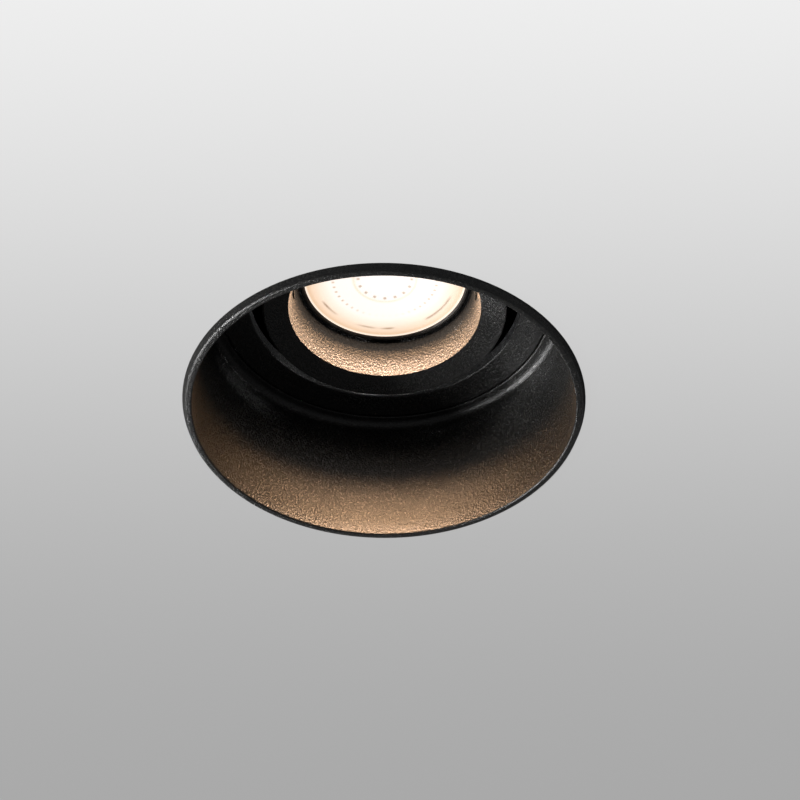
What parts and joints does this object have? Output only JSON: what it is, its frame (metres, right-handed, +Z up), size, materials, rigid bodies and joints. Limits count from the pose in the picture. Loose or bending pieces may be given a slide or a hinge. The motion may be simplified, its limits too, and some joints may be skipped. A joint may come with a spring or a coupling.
{
  "type": "recessed adjustable soffit downlight",
  "caption": "Round recessed downlight with a deep black cup, a panning ring, a tilting lamp carrier with snoot, and spring ceiling clips.",
  "frame": {"origin": "centre of the ceiling cut-out, in the plane of the ceiling face that the flange lies against", "axes": "+Z up into the ceiling void along the body's axis, +X along the tilt axis towards one ceiling clip"},
  "size_m": [0.177, 0.11, 0.1306],
  "materials": {
    "black_coat": "fine-textured powder coat",
    "zinc_sheet": "zinc-plated sheet",
    "black_zinc": "black-passivated zinc plate",
    "steel": "plated steel fasteners",
    "spring_steel": "drawn spring wire",
    "brass": "bare brass",
    "ceramic": "unglazed steatite",
    "white_plastic": "moulded, fine spark finish",
    "rubber": "matt rubber",
    "lamp_aluminium": "satin aluminium",
    "lamp_glass": "clear ringed lens",
    "led_board": "lit board with chips"
  },
  "bodies": {
    "cup": {"housing": "black_coat", "retaining_tab_1": "zinc_sheet", "retaining_tab_2": "zinc_sheet", "retaining_tab_3": "zinc_sheet", "tab_screws": "steel", "clip_bracket_left": "zinc_sheet", "clip_bracket_right": "zinc_sheet", "clip_screws": "steel", "clip_pin_left": "steel", "clip_pin_right": "steel"},
    "ring": {"pan_ring": "black_coat", "pivot_bracket_left": "black_zinc", "pivot_bracket_right": "black_zinc", "pivot_bracket_screws": "steel"},
    "carrier": {"lamp_carrier": "black_coat", "pivot_pin_left": "black_zinc", "pivot_pin_right": "black_zinc", "pivot_washer_left": "black_zinc", "pivot_washer_right": "black_zinc", "lampholder_strap": "zinc_sheet", "strap_screws": "steel", "earth_screw": "brass", "lampholder": "ceramic", "lampholder_contacts": "brass", "holder_screws": "steel", "holder_nuts": "steel", "terminal_tray": "white_plastic", "lid_hinge_pin": "steel", "terminal_block": "white_plastic", "terminal_screws": "brass", "cable_grommet": "rubber"},
    "lid": {"terminal_lid": "white_plastic"},
    "lamp": {"lamp_body": "lamp_aluminium", "lamp_bezel": "lamp_aluminium", "lamp_lens": "lamp_glass", "lamp_module": "led_board", "lamp_base": "white_plastic", "lamp_pins": "steel"},
    "clip_left": {"clip_spring_left": "spring_steel"},
    "clip_right": {"clip_spring_right": "spring_steel"}
  },
  "joints": [
    {"name": "pan", "type": "hinge", "parent": "cup", "child": "ring", "pos_m": [0, 0, 0.0424], "axis": [0, 0, 1], "range_deg": [-175, 175]},
    {"name": "tilt", "type": "hinge", "parent": "ring", "child": "carrier", "pos_m": [0, 0, 0.0485], "axis": [1, 0, 0], "range_deg": [-30, 30]},
    {"name": "lamp_twist", "type": "hinge", "parent": "carrier", "child": "lamp", "pos_m": [0, 0, 0.098], "axis": [0, 0, 1], "range_deg": [-30, 0]},
    {"name": "lid_hinge", "type": "hinge", "parent": "carrier", "child": "lid", "pos_m": [-0.017, 0, 0.125], "axis": [0, -1, 0], "range_deg": [0, 110]},
    {"name": "clip_left_fold", "type": "hinge", "parent": "cup", "child": "clip_left", "pos_m": [-0.047, 0, 0.0505], "axis": [0, 1, 0], "range_deg": [0, 133], "stiffness_Nm_per_rad": 0.12, "springref_deg": -34.38},
    {"name": "clip_right_fold", "type": "hinge", "parent": "cup", "child": "clip_right", "pos_m": [0.047, 0, 0.0505], "axis": [0, -1, 0], "range_deg": [0, 133], "stiffness_Nm_per_rad": 0.12, "springref_deg": -34.38}
  ]
}
